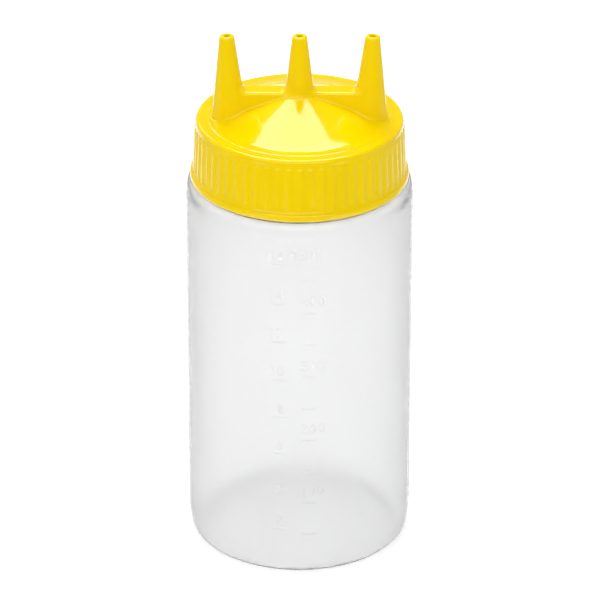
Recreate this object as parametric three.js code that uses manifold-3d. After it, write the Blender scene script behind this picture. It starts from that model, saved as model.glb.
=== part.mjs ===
// Wide-mouth squeeze bottle for sauces, with a screw cap that pours through three nozzles.
// Millimetres, +Z up. The origin is the centre of the base, and the nozzles stand in a row along X.

import * as THREE from "three";
import { mergeVertices } from "three/addons/utils/BufferGeometryUtils.js";
import Module from "manifold-3d";

// Bottle body
const bodyRadius = 37.6;
const bodyWall = 1.0;
const bodyTopZ = 128.3;
const heelRadius = 2.5;
const heelDraw = 0.8;
const heelDrawHeight = 8.5;
const footWidth = 3.0;
const pushUpHeight = 2.6;
const shoulderRadius = 3.0;

// Bottle neck
const neckRadius = 30.4;
const neckWall = 1.4;
const neckHeight = 17.9;
const neckRootFillet = 0.5;
const lipRound = 0.4;

// Screw thread, one start, right-handed
const threadPitch = 4.23;
const threadTurns = 1.25;
const threadLeadIn = 0.06;
const threadRootHalfWidth = 1.15;
const threadCrestHalfWidth = 0.45;
const neckThreadDepth = 1.2;
const neckThreadBelowLip = 4.1;
const threadRootSink = 0.4;
const threadEndShare = 0.1;
const threadPlay = 0.35;
const neckThreadSideGap = 0.7;
const capThreadSideGap = 0.5;

// Sealing ring on the neck's lip
const seatGap = 0.3;
const ringThickness = 1.0;
const ringInset = 0.6;
const ringSideGap = 0.4;

// Cap skirt and flange
const skirtWall = 1.85;
const skirtDraft = 0.6;
const flangeStand = 1.75;
const flangeAboveShoulder = 0.6;
const flangeEdgeHeight = 1.7;
const flangeFlareHeight = 2.6;
const flangeRound = 0.3;
const capMouthChamfer = 0.6;

// Ribs round the skirt
const ribCount = 60;
const ribValleyStand = 0.05;
const ribCrestStand = 0.35;
const ribCrestShare = 0.38;
const ribFlankShare = 0.16;
const ribTopBelowRim = 2.4;
const ribEndSlope = 0.6;
const ribEndStep = 0.1;

// Cap top: a flat rim with a low cone inside it, whose foot spreads out to the rim
const capTopWall = 1.8;
const rimRound = 1.2;
const rimFlatWidth = 2.95;
const coneFootWidth = 6.5;
const coneFootEndSlope = 0.12;
const coneTopRadius = 3.0;
const coneSlope = 0.385;
const coneWall = 1.95;
const hollowFootInset = 2.0;

// Ducts from the middle nozzle to the outer two
const ductRise = 8.26;
const ductTopHalfWidth = 3.4;
const ductFootHalfWidth = 3.9;
const ductEdgeRound = 1.1;
const ductInnerRound = 0.45;
const ductWall = 1.3;

// Nozzles
const nozzleSpacing = 23.0;
const nozzleSplayDegrees = 1.6;
const nozzleHeight = 27.46;
const nozzleBaseRadius = 5.6;
const nozzleTipRadius = 2.3;
const nozzleTipRound = 0.8;
const nozzleFlare = 0.8;
const nozzleFlareHeight = 3.0;
const nozzleWall = 1.35;
const nozzleBoreRadius = 1.0;
const nozzleBoreLand = 3.0;

// How far a cut runs past the face that it opens
const cutOverrun = 1.0;

// Facets round a full turn
const bodyFacets = 64;
const capFacets = 72;
const nozzleFacets = 20;
const threadFacets = 48;
const arcSteps = 3;
const curveSteps = 3;

// Heights and radii that follow from the sizes above
const shoulderTopZ = bodyTopZ + shoulderRadius;
const neckLipZ = shoulderTopZ + neckHeight;
const flangeBottomZ = shoulderTopZ + flangeAboveShoulder;
const ringBottomZ = neckLipZ + seatGap;
const ringTopZ = ringBottomZ + ringThickness;
const capSeatZ = ringTopZ + seatGap;
const rimTopZ = capSeatZ + capTopWall;
const coneFootZ = rimTopZ + (coneFootWidth * (coneSlope + coneFootEndSlope)) / 2;
const ductTopZ = coneFootZ + ductRise;
const neckThreadTopZ = neckLipZ - neckThreadBelowLip;
const neckThreadCrest = neckRadius + neckThreadDepth;
const capThreadCrest = neckRadius + capThreadSideGap;
const capBoreRadius = neckThreadCrest + neckThreadSideGap;
const skirtRadius = capBoreRadius + skirtWall;
const flangeRadius = skirtRadius + flangeStand;
const coneEdgeRadius = skirtRadius - rimRound - rimFlatWidth;
const coneFootRadius = coneEdgeRadius - coneFootWidth;
const flangeTopZ = flangeBottomZ + flangeEdgeHeight;
const flareTopZ = flangeTopZ + flangeFlareHeight;
const ribTopZ = rimTopZ - ribTopBelowRim;

const wasm = await Module();
wasm.setup();

// Turns a closed three.js geometry into a solid that can be joined and cut.
function toSolid(geometry) {
  const bare = geometry.clone();
  bare.deleteAttribute("normal");
  bare.deleteAttribute("uv");
  const merged = mergeVertices(bare, 1e-4);
  const index = merged.index.array;
  const triangles = [];
  for (let i = 0; i < index.length; i += 3) {
    const [a, b, c] = [index[i], index[i + 1], index[i + 2]];
    if (a !== b && b !== c && c !== a) {
      triangles.push(a, b, c);
    }
  }
  return new wasm.Manifold(new wasm.Mesh({
    numProp: 3,
    vertProperties: new Float32Array(merged.attributes.position.array),
    triVerts: new Uint32Array(triangles),
  }));
}

function toGeometry(solid) {
  const mesh = solid.getMesh();
  const geometry = new THREE.BufferGeometry();
  geometry.setAttribute("position", new THREE.BufferAttribute(mesh.vertProperties.slice(), 3));
  geometry.setIndex(new THREE.BufferAttribute(mesh.triVerts.slice(), 1));
  geometry.computeVertexNormals();
  return geometry;
}

// A solid of revolution about Z. The profile climbs on its outer side: [radius, z] points.
function revolve(profile, facets) {
  const points = profile.map(([radius, z]) => new THREE.Vector2(radius, z));
  const geometry = new THREE.LatheGeometry(points, facets);
  geometry.rotateX(Math.PI / 2);
  return toSolid(geometry);
}

// Points on an arc or an ellipse's quarter, from one angle to another in degrees.
function arc(centreRadius, centreZ, radiusR, radiusZ, fromDegrees, toDegrees, steps = arcSteps) {
  const points = [];
  for (let i = 0; i <= steps; i += 1) {
    const angle = THREE.MathUtils.degToRad(fromDegrees + ((toDegrees - fromDegrees) * i) / steps);
    points.push([centreRadius + radiusR * Math.cos(angle), centreZ + radiusZ * Math.sin(angle)]);
  }
  return points;
}

// A closed solid through rings of equally many points, each ring closed by a fan at its ends.
function loft(rings) {
  const count = rings[0].length;
  const vertices = rings.flat();
  const startCentre = vertices.length;
  const endCentre = startCentre + 1;
  const centroid = (ring) => ring
    .reduce((sum, p) => sum.add(p), new THREE.Vector3())
    .divideScalar(count);
  vertices.push(centroid(rings[0]), centroid(rings[rings.length - 1]));
  const triangles = [];
  const lastRing = (rings.length - 1) * count;
  for (let j = 0; j < count; j += 1) {
    const next = (j + 1) % count;
    for (let i = 0; i + 1 < rings.length; i += 1) {
      const low = i * count;
      const high = low + count;
      triangles.push(low + j, low + next, high + next);
      triangles.push(low + j, high + next, high + j);
    }
    triangles.push(startCentre, next, j);
    triangles.push(endCentre, lastRing + j, lastRing + next);
  }
  const geometry = new THREE.BufferGeometry();
  const flat = new Float32Array(vertices.flatMap((p) => [p.x, p.y, p.z]));
  geometry.setAttribute("position", new THREE.BufferAttribute(flat, 3));
  geometry.setIndex(triangles);
  return toSolid(geometry);
}

function onCircle(radius, angle, z) {
  return new THREE.Vector3(radius * Math.cos(angle), radius * Math.sin(angle), z);
}

// A helical ridge between a wall and its crest, fading in and out at its ends.
function threadRidge(wallRadius, crestRadius, sinkRadius, startZ) {
  const steps = Math.round(threadTurns * threadFacets);
  const rings = [];
  for (let i = 0; i <= steps; i += 1) {
    const turns = (threadTurns * i) / steps;
    const fromEnd = Math.min(turns, threadTurns - turns);
    const fade = THREE.MathUtils.clamp(fromEnd / threadLeadIn, threadEndShare, 1);
    const angle = 2 * Math.PI * turns;
    const z = startZ + threadPitch * turns;
    const crest = wallRadius + (crestRadius - wallRadius) * fade;
    const crestHalf = threadRootHalfWidth + (threadCrestHalfWidth - threadRootHalfWidth) * fade;
    const section = [
      onCircle(sinkRadius, angle, z - threadRootHalfWidth),
      onCircle(wallRadius, angle, z - threadRootHalfWidth),
      onCircle(crest, angle, z - crestHalf),
      onCircle(crest, angle, z + crestHalf),
      onCircle(wallRadius, angle, z + threadRootHalfWidth),
      onCircle(sinkRadius, angle, z + threadRootHalfWidth),
    ];
    rings.push(crestRadius > wallRadius ? section.reverse() : section);
  }
  return loft(rings);
}

// Half-width of a ridge at a radius between its wall and its crest
function ridgeHalfWidth(radius, wallRadius, crestRadius) {
  const share = (radius - wallRadius) / (crestRadius - wallRadius);
  return threadRootHalfWidth + (threadCrestHalfWidth - threadRootHalfWidth) * share;
}

// The cap's ridge lies under the neck's, so that tightening pulls the cap down on its ring.
function capThreadDrop() {
  const gaps = [capThreadCrest, neckThreadCrest].map((radius) => (
    ridgeHalfWidth(radius, neckRadius, neckThreadCrest)
    + ridgeHalfWidth(radius, capBoreRadius, capThreadCrest)
  ));
  return Math.max(...gaps) + threadPlay;
}

// Points of a parabola between the axis and a radius, high at the axis, without its two ends
function domePoints(radius, height) {
  const points = [];
  for (let i = 1; i < curveSteps; i += 1) {
    const share = i / curveSteps;
    points.push([radius * share, height * (1 - share ** 2)]);
  }
  return points;
}

// Points of the slight draw above the heel, which ends upright, without its two ends
function drawPoints() {
  const points = [];
  for (let i = 1; i < curveSteps; i += 1) {
    const share = i / curveSteps;
    points.push([bodyRadius - heelDraw * (1 - share) ** 2, heelRadius + heelDrawHeight * share]);
  }
  return points;
}

// Blow-moulded bottle: domed base on a flat foot ring, straight side, tight shoulder, threaded neck.
// The shoulder's round is limited by the room between the neck and the side.
function bottleProfile() {
  const footOuter = bodyRadius - heelDraw - heelRadius;
  const footInner = footOuter - footWidth;
  const innerRadius = bodyRadius - bodyWall;
  const neckInner = neckRadius - neckWall;
  const shoulderRoom = bodyRadius - neckRadius - neckRootFillet;
  const outerShoulder = Math.min(shoulderRadius, shoulderRoom);
  const innerShoulder = Math.max(outerShoulder - bodyWall, 0);
  const outerCentre = bodyRadius - outerShoulder;
  const innerCentre = innerRadius - innerShoulder;
  const innerCentreZ = shoulderTopZ - bodyWall - innerShoulder;
  const innerHeel = heelRadius - bodyWall;
  const inwards = ([radius, z]) => [radius - bodyWall, z];
  const upwards = ([radius, z]) => [radius, z + bodyWall];
  return [
    [0, pushUpHeight],
    ...domePoints(footInner, pushUpHeight),
    [footInner, 0],
    ...arc(footOuter, heelRadius, heelRadius, heelRadius, -90, 0),
    ...drawPoints(),
    [bodyRadius, heelRadius + heelDrawHeight],
    ...arc(outerCentre, shoulderTopZ - outerShoulder, outerShoulder, outerShoulder, 0, 90),
    [neckRadius + neckRootFillet, shoulderTopZ],
    [neckRadius, shoulderTopZ + neckRootFillet],
    [neckRadius, neckLipZ - lipRound],
    [neckRadius - lipRound, neckLipZ],
    [neckInner + lipRound, neckLipZ],
    [neckInner, neckLipZ - lipRound],
    [neckInner, shoulderTopZ - bodyWall],
    ...arc(innerCentre, innerCentreZ, innerShoulder, innerShoulder, 90, 0),
    [innerRadius, heelRadius + heelDrawHeight],
    ...drawPoints().map(inwards).reverse(),
    ...arc(footOuter, heelRadius, innerHeel, innerHeel, 0, -90),
    [footInner, bodyWall],
    ...domePoints(footInner, pushUpHeight).map(upwards).reverse(),
    [0, pushUpHeight + bodyWall],
  ];
}

function makeBottle() {
  const shell = revolve(bottleProfile(), bodyFacets);
  const startZ = neckThreadTopZ - threadPitch * threadTurns;
  const thread = threadRidge(neckRadius, neckThreadCrest, neckRadius - threadRootSink, startZ);
  return shell.add(thread);
}

// Flat ring between the neck's lip and the underside of the cap
function makeSealingRing() {
  const outer = capBoreRadius - ringSideGap;
  const inner = neckRadius - neckWall - ringInset;
  return revolve([
    [inner, ringBottomZ],
    [outer, ringBottomZ],
    [outer, ringTopZ],
    [inner, ringTopZ],
    [inner, ringBottomZ],
  ], bodyFacets);
}

// Height of the cone's outer surface above a point at this distance from the axis
function coneZ(radius) {
  return coneFootZ + (coneFootRadius - radius) * coneSlope;
}

// Points of the cone's spreading foot, from the flat rim inwards and up to the straight cone
function coneFootPoints() {
  const points = [];
  for (let i = 0; i <= curveSteps; i += 1) {
    const share = i / curveSteps;
    const slope = coneFootEndSlope + ((coneSlope - coneFootEndSlope) * share) / 2;
    points.push([coneEdgeRadius - coneFootWidth * share, rimTopZ + coneFootWidth * share * slope]);
  }
  return points;
}

// Radius of the skirt between its ribs: it widens a little from the rim down to the flange
function skirtRadiusAt(z) {
  return skirtRadius + (skirtDraft * (ribTopZ - z)) / (ribTopZ - flareTopZ);
}

// Outside of the cap without ribs, ducts and nozzles, as one full solid
function capOuterProfile() {
  const flareStand = flangeRadius - skirtRadiusAt(flareTopZ);
  const flare = arc(flangeRadius, flareTopZ, flareStand, flangeFlareHeight, 270, 180);
  return [
    [0, flangeBottomZ],
    [flangeRadius - flangeRound, flangeBottomZ],
    [flangeRadius, flangeBottomZ + flangeRound],
    ...flare,
    ...arc(skirtRadius - rimRound, rimTopZ - rimRound, rimRound, rimRound, 0, 90),
    ...coneFootPoints(),
    [coneTopRadius, coneZ(coneTopRadius)],
    [0, coneZ(coneTopRadius)],
  ];
}

// Inside of the cap's skirt and top, as one full solid to cut away. Its chamfer runs past the cap's
// lower face by the chamfer's own height.
function capInnerProfile() {
  const below = flangeBottomZ - capMouthChamfer;
  return [
    [0, below],
    [capBoreRadius + 2 * capMouthChamfer, below],
    [capBoreRadius, flangeBottomZ + capMouthChamfer],
    [capBoreRadius, capSeatZ],
    [coneEdgeRadius - hollowFootInset, capSeatZ],
    [coneFootRadius, coneFootZ - coneWall],
    [coneTopRadius, coneZ(coneTopRadius) - coneWall],
    [0, coneZ(coneTopRadius) - coneWall],
  ];
}

// Band of shallow ribs round the skirt, with sloping ends
function makeRibBand() {
  const bottomZ = (flangeTopZ + flareTopZ) / 2;
  const shoulderZ = ribTopZ - ribEndSlope;
  const ribAngle = (2 * Math.PI) / ribCount;
  const ring = (z, valley, crest) => {
    const points = [];
    for (let i = 0; i < ribCount; i += 1) {
      const start = i * ribAngle;
      const crestStart = start + ribAngle * ribFlankShare;
      const crestEnd = crestStart + ribAngle * ribCrestShare;
      points.push(onCircle(valley, start, z));
      points.push(onCircle(crest, crestStart, z));
      points.push(onCircle(crest, crestEnd, z));
      points.push(onCircle(valley, crestEnd + ribAngle * ribFlankShare, z));
    }
    return points;
  };
  const fullRing = (z) => ring(z, skirtRadiusAt(z) + ribValleyStand, skirtRadiusAt(z) + ribCrestStand);
  return loft([
    fullRing(bottomZ),
    fullRing(shoulderZ),
    ring(ribTopZ, skirtRadius - ribEndStep, skirtRadius),
    ring(ribTopZ + ribEndStep, skirtRadius - skirtWall / 2, skirtRadius - skirtWall / 2),
  ]);
}

// Upright trapezoid with rounded top edges, run along X for the whole length given
function ductBar(length, footHalf, topHalf, bottomZ, topZ, edgeRound) {
  const shape = new THREE.Shape();
  shape.moveTo(-footHalf, bottomZ);
  shape.lineTo(footHalf, bottomZ);
  shape.lineTo(topHalf, topZ - edgeRound);
  shape.quadraticCurveTo(topHalf, topZ, topHalf - edgeRound, topZ);
  shape.lineTo(edgeRound - topHalf, topZ);
  shape.quadraticCurveTo(-topHalf, topZ, -topHalf, topZ - edgeRound);
  shape.closePath();
  const bar = new THREE.ExtrudeGeometry(shape, {
    depth: length,
    bevelEnabled: false,
    curveSegments: curveSteps,
  });
  bar.translate(0, 0, -length / 2);
  const along = new THREE.Matrix4().makeBasis(
    new THREE.Vector3(0, 1, 0),
    new THREE.Vector3(0, 0, 1),
    new THREE.Vector3(1, 0, 0),
  );
  bar.applyMatrix4(along);
  return toSolid(bar);
}

// Sets a nozzle's solid, made about the Z axis, on its place in the row and leans it outwards.
function placeNozzle(solid, side) {
  return solid
    .rotate([0, side * nozzleSplayDegrees, 0])
    .translate([side * nozzleSpacing, 0, coneFootZ]);
}

// Outer radius of a nozzle at a height above the level of the cone's foot
function nozzleRadius(z) {
  return nozzleBaseRadius + ((nozzleTipRadius - nozzleBaseRadius) * z) / nozzleHeight;
}

// Tapered nozzle with a flared root and a rounded end; z = 0 is the level of the cone's foot
function nozzleOuter(flareZ) {
  const sink = rimTopZ - coneFootZ - capTopWall / 2;
  const rounded = nozzleTipRadius - nozzleTipRound;
  const flareTopZ = flareZ + nozzleFlareHeight;
  const flare = arc(nozzleFlare, flareTopZ, nozzleFlare, nozzleFlareHeight, 270, 180, 2)
    .map(([stand, z]) => [nozzleRadius(z) + stand, z]);
  return revolve([
    [0, sink],
    [nozzleRadius(flareZ) + nozzleFlare, sink],
    ...flare,
    ...arc(rounded, nozzleHeight - nozzleTipRound, nozzleTipRound, nozzleTipRound, 0, 90),
    [0, nozzleHeight],
  ], nozzleFacets);
}

function nozzleBore(bottomZ) {
  const landZ = nozzleHeight - nozzleBoreLand;
  return revolve([
    [0, bottomZ],
    [nozzleRadius(bottomZ) - nozzleWall, bottomZ],
    [nozzleBoreRadius, landZ],
    [nozzleBoreRadius, nozzleHeight + cutOverrun],
    [0, nozzleHeight + cutOverrun],
  ], nozzleFacets);
}

function makeCap() {
  const ductFootZ = rimTopZ - capTopWall / 2;
  const ductLength = 2 * nozzleSpacing;
  const sides = [-1, 0, 1];
  let cap = revolve(capOuterProfile(), capFacets).add(makeRibBand());
  cap = cap.add(ductBar(
    ductLength,
    ductFootHalfWidth,
    ductTopHalfWidth,
    ductFootZ,
    ductTopZ,
    ductEdgeRound,
  ));
  for (const side of sides) {
    cap = cap.add(placeNozzle(nozzleOuter(side === 0 ? ductRise : rimTopZ - coneFootZ), side));
  }
  let hollow = revolve(capInnerProfile(), capFacets);
  hollow = hollow.add(ductBar(
    ductLength,
    ductFootHalfWidth - ductWall,
    ductTopHalfWidth - ductWall,
    capSeatZ - capTopWall,
    ductTopZ - ductWall,
    ductInnerRound,
  ));
  for (const side of sides) {
    hollow = hollow.add(placeNozzle(nozzleBore(capSeatZ - coneFootZ - cutOverrun), side));
  }
  const startZ = neckThreadTopZ - threadPitch * threadTurns - capThreadDrop();
  const thread = threadRidge(capBoreRadius, capThreadCrest, capBoreRadius + threadRootSink, startZ);
  return cap.subtract(hollow).add(thread);
}

// One named mesh for each separate piece
const bottlePlastic = new THREE.MeshStandardMaterial({
  color: 0xf1f2f3,
  roughness: 0.45,
  metalness: 0,
  transparent: true,
  opacity: 0.6,
});
const capPlastic = new THREE.MeshStandardMaterial({ color: 0xf8d406, roughness: 0.22, metalness: 0 });
const ringFoam = new THREE.MeshStandardMaterial({ color: 0xf4f4f0, roughness: 0.8, metalness: 0 });

const part = new THREE.Group();
part.name = "squeeze_bottle";
for (const [name, solid, material] of [
  ["bottle", makeBottle(), bottlePlastic],
  ["sealing_ring", makeSealingRing(), ringFoam],
  ["cap", makeCap(), capPlastic],
]) {
  const mesh = new THREE.Mesh(toGeometry(solid), material);
  mesh.name = name;
  part.add(mesh);
}

export default part;
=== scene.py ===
"""Looks of a wide-mouth squeeze bottle with a three-nozzle screw cap, and a plain studio round it.

Metres, +Z up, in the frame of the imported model. Sizes are written in millimetres times MM.
"""

import math

import bmesh
import bpy
import numpy as np
from bpy.props import FloatProperty, FloatVectorProperty, PointerProperty
from mathutils import Matrix, Vector


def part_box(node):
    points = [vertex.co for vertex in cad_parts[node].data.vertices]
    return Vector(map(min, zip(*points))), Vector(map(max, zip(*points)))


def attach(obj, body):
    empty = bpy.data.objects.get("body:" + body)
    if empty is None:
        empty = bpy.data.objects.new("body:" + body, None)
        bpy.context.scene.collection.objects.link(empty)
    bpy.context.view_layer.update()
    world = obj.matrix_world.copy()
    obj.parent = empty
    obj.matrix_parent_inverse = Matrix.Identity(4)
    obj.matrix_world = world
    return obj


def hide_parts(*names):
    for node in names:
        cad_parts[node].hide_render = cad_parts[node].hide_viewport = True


bl_info = {
    "name": "Squeeze Bottle",
    "version": (1, 0, 0),
    "blender": (4, 5, 0),
    "location": "View3D > Sidebar > Squeeze Bottle",
    "description": "Builds a translucent squeeze bottle, its sealing ring, its nozzle cap and a studio",
    "category": "Add Mesh",
}

MM = 0.001

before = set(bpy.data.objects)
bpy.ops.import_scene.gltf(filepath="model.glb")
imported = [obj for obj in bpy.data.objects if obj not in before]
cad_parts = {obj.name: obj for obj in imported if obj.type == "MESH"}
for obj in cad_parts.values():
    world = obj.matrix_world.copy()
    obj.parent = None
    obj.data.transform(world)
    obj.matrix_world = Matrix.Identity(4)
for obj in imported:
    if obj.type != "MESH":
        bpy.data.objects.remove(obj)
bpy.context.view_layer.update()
BOTTLE_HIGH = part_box("bottle")[1]
RING_LOW, RING_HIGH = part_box("sealing_ring")
CAP_LOW, CAP_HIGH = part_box("cap")

# Bottle body, from the frame and as moulded
BODY_RADIUS = BOTTLE_HIGH.x
LIP_Z = BOTTLE_HIGH.z
SHOULDER_TOP_Z = LIP_Z - 17.9 * MM
HEEL_RADIUS = 2.5 * MM
HEEL_DRAW = 0.8 * MM
HEEL_DRAW_HEIGHT = 8.5 * MM
DRAW_TOP_Z = HEEL_RADIUS + HEEL_DRAW_HEIGHT
FOOT_WIDTH = 3.0 * MM
FOOT_ROUND = 0.4 * MM
PUSH_UP_HEIGHT = 2.6 * MM
SHOULDER_RADIUS = 3.0 * MM
SHOULDER_DRAW = 0.3 * MM
SHOULDER_DRAW_HEIGHT = 3.5 * MM

# Bottle neck, and the sealing ring on its lip
NECK_RADIUS = 30.4 * MM
NECK_WALL = 1.4 * MM
NECK_ROOT_FILLET = 0.5 * MM
LIP_ROUND = 0.45 * MM
RING_INNER_RADIUS = NECK_RADIUS - NECK_WALL - 0.6 * MM
RING_COLUMNS = 160

# Screw thread, one start, right-handed
THREAD_PITCH = 4.23 * MM
THREAD_TURNS = 1.25
THREAD_LEAD_IN = 0.06
THREAD_ROOT_HALF = 1.15 * MM
THREAD_CREST_HALF = 0.45 * MM
NECK_THREAD_DEPTH = 1.2 * MM
NECK_THREAD_BELOW_LIP = 4.1 * MM
NECK_THREAD_START_Z = LIP_Z - NECK_THREAD_BELOW_LIP - THREAD_PITCH * THREAD_TURNS
CAP_THREAD_DEPTH = 1.4 * MM
CAP_THREAD_DROP = 1.66 * MM

# Raised scales on the wall: a mark every 2 ounces on the left and every 50 millilitres on the right
OUNCE_FIRST_Z = 17.5 * MM
OUNCE_STEP_Z = 14.1 * MM
OUNCE_COUNT = 8
OUNCE_TICK = (-8.9 * MM, -4.2 * MM)
OUNCE_NUMERAL_RISE = 1.8 * MM
OUNCE_NUMERAL_GAP = 0.2 * MM
MILLILITRE_FIRST_Z = 15.5 * MM
MILLILITRE_STEP_Z = 11.89 * MM
MILLILITRE_COUNT = 9
MILLILITRE_TICK = (1.2 * MM, 5.6 * MM)
MILLILITRE_NUMERAL_RISE = 3.0 * MM
MILLILITRE_NUMERAL_BACK = 0.5 * MM
NUMERAL_HEIGHT = 3.1 * MM
NUMERAL_PITCH = 2.9 * MM
UNIT_Z = 118.8 * MM
UNIT_HEIGHT = 1.2 * NUMERAL_HEIGHT
OUNCE_UNIT_LEFT = -3.4 * MM
MILLILITRE_UNIT_LEFT = 2.2 * MM

# The wall is drawn in a little over the front, where the scales stand
SCALE_HALF_DEGREES = 15.0
SCALE_FADE_DEGREES = 32.0
SCALE_FADE_BELOW = 4.0 * MM
SCALE_FADE_ABOVE = 3.0 * MM

# Grid of the bottle's wall: the front panel that holds the scales is finer
WALL_FINE_STEP = 0.2 * MM
FINE_PER_COLUMN = 8
FINE_PER_ROW = 16
PANEL_COLUMNS = 12
PANEL_ROWS = 35
PANEL_LOW_Z = 12.8 * MM

# Cap, from the frame and as moulded
FLANGE_Z = CAP_LOW.z
FLANGE_RADIUS = CAP_HIGH.y
CAP_SEAT_Z = RING_HIGH.z + 0.3 * MM
CAP_WALL = 1.8 * MM
RIM_Z = CAP_SEAT_Z + CAP_WALL
BORE_RADIUS = NECK_RADIUS + 1.9 * MM
SKIRT_RADIUS = BORE_RADIUS + 1.85 * MM
SKIRT_DRAFT = 0.6 * MM
SKIRT_DRAFT_HEIGHT = 14.0 * MM
RIM_ROUND = 1.2 * MM
RIB_COUNT = 60
RIB_VALLEY = 0.05 * MM
RIB_TOP_Z = RIM_Z - 2.4 * MM
RIB_END = 0.9 * MM
RIM_BLEND = 0.25 * MM
FLANGE_EDGE = 1.7 * MM
FLANGE_ROUND = 0.3 * MM
FLANGE_BLEND = 2.6 * MM
MOUTH_CHAMFER = 0.6 * MM
CONE_FOOT_WIDTH = 6.5 * MM
CONE_EDGE_RADIUS = SKIRT_RADIUS - RIM_ROUND - 2.95 * MM
CONE_RADIUS = CONE_EDGE_RADIUS - CONE_FOOT_WIDTH
CONE_END_SLOPE = 0.12
CONE_SLOPE = 0.385
CONE_Z = RIM_Z + CONE_FOOT_WIDTH * (CONE_SLOPE + CONE_END_SLOPE) / 2.0
CONE_WALL = 1.95 * MM
CONE_BLEND = 0.6 * MM
HOLLOW_EDGE = 0.35 * MM
HOLLOW_FOOT_RADIUS = CONE_EDGE_RADIUS - 2.0 * MM
DUCT_RISE = 8.26 * MM
DUCT_TOP_HALF = 3.4 * MM
DUCT_FOOT_HALF = 3.9 * MM
DUCT_ROUND = 1.0 * MM
DUCT_WALL = 1.3 * MM
NOZZLE_SPACING = 23.0 * MM
NOZZLE_SPLAY = math.radians(1.6)
NOZZLE_HEIGHT = 27.41 * MM
NOZZLE_BASE_RADIUS = 5.72 * MM
NOZZLE_TIP_RADIUS = 2.42 * MM
NOZZLE_TIP_ROUND = 0.8 * MM
NOZZLE_FILLET_SHARE = 2.4
NOZZLE_WALL = 1.35 * MM
NOZZLE_BORE_RADIUS = 1.0 * MM
NOZZLE_BORE_LAND = 3.0 * MM

# Photograph's viewpoint, for a square picture 600 pixels wide
PICTURE_WIDTH = 600
FOCAL_PIXELS = 4616.7
SENSOR_WIDTH = 36.0
VIEW_DISTANCE = 1.54739
VIEW_TILT = 0.4843
VIEW_ROLL = 0.0013
VIEW_TARGET = Vector((0.0002, 0.0, 0.0844))

# Studio: what the paper adds to its lit colour where it is seen, how much of it shows plain white through
# the plastic, and the sky's strength overhead as a share of its strength low down
PAPER_GLOW = 0.4
PAPER_WHITE_SHARE = 0.88
OVERHEAD_SHARE = 0.25


# What the properties of each kind share
LENGTH = {"subtype": "DISTANCE", "unit": "LENGTH"}
POWER = {"subtype": "POWER", "unit": "POWER"}
SHARE = {"min": 0.0, "max": 1.0, "subtype": "FACTOR"}
COLOUR = {"min": 0.0, "max": 1.0, "subtype": "COLOR"}


class BottleSettings(bpy.types.PropertyGroup):
    """Sizes and finish of the blow-moulded bottle"""

    wall: FloatProperty(
        name="Wall", description="Thickness of the body's wall",
        default=1.0 * MM, min=0.4 * MM, max=3.0 * MM, **LENGTH,
    )
    mark_height: FloatProperty(
        name="Mark height", description="How far the scales stand out of the wall",
        default=0.22 * MM, min=0.0, max=0.6 * MM, **LENGTH,
    )
    mark_width: FloatProperty(
        name="Mark width", description="Width of a stroke of the scales at its foot",
        default=0.62 * MM, min=0.4 * MM, max=1.5 * MM, **LENGTH,
    )
    colour: FloatVectorProperty(
        name="Colour", description="Tint of the natural polyethylene",
        default=(0.984, 0.986, 0.988), **COLOUR,
    )
    clearness: FloatProperty(
        name="Clearness", description="Share of the light that passes through the wall",
        default=0.85, **SHARE,
    )
    glow: FloatProperty(
        name="Glow", description="How far light spreads within the milky wall",
        default=3.0 * MM, min=0.1 * MM, max=20.0 * MM, **LENGTH,
    )
    roughness: FloatProperty(
        name="Roughness", description="How much the frosted wall blurs what is behind it",
        default=0.22, **SHARE,
    )


class CapSettings(bpy.types.PropertyGroup):
    """Sizes and finish of the injection-moulded cap"""

    rib_height: FloatProperty(
        name="Rib height", description="How far a rib's crest stands over its valley",
        default=0.38 * MM, min=0.0, max=1.0 * MM, **LENGTH,
    )
    fillet: FloatProperty(
        name="Fillet", description="Size of the fillets where the ducts and nozzles meet the cone",
        default=0.85 * MM, min=0.2 * MM, max=3.0 * MM, **LENGTH,
    )
    cell: FloatProperty(
        name="Mesh cell", description="Size of the cells that the cap's surface is drawn through",
        default=0.48 * MM, min=0.3 * MM, max=1.5 * MM, **LENGTH,
    )
    colour: FloatVectorProperty(
        name="Colour", description="Colour of the cap's plastic",
        default=(0.97, 0.69, 0.0), **COLOUR,
    )
    roughness: FloatProperty(
        name="Roughness", description="Roughness of the cap's polish",
        default=0.1, **SHARE,
    )


class RingSettings(bpy.types.PropertyGroup):
    """Finish of the foam sealing ring"""

    edge_round: FloatProperty(
        name="Edge round", description="Radius of the ring's pressed edges",
        default=0.25 * MM, min=0.05 * MM, max=0.45 * MM, **LENGTH,
    )
    colour: FloatVectorProperty(
        name="Colour", description="Colour of the foam",
        default=(0.86, 0.86, 0.82), **COLOUR,
    )


class StageSettings(bpy.types.PropertyGroup):
    """Light and ground of the studio"""

    sky: FloatProperty(
        name="Sky", description="Strength of the light from low all round, and a quarter of it overhead",
        default=0.85, min=0.0, max=2.0,
    )
    softbox: FloatProperty(
        name="Softbox", description="Power of the large light above and behind",
        default=6.7, min=0.0, max=100.0, **POWER,
    )
    top_box: FloatProperty(
        name="Top box", description="Power of the light straight above",
        default=2.2, min=0.0, max=100.0, **POWER,
    )
    front_box: FloatProperty(
        name="Front box", description="Power of the wide light behind the camera",
        default=25.0, min=0.0, max=200.0, **POWER,
    )
    side_box: FloatProperty(
        name="Side box", description="Power of the small light at the left and behind",
        default=0.8, min=0.0, max=100.0, **POWER,
    )
    ground: FloatVectorProperty(
        name="Ground", description="Colour of the floor",
        default=(0.9, 0.9, 0.9), **COLOUR,
    )


def smooth_step(low, high, value):
    """0 below low, 1 above high and a soft climb between them."""
    share = np.clip((value - low) / (high - low), 0.0, 1.0)
    return share * share * (3.0 - 2.0 * share)


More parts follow.
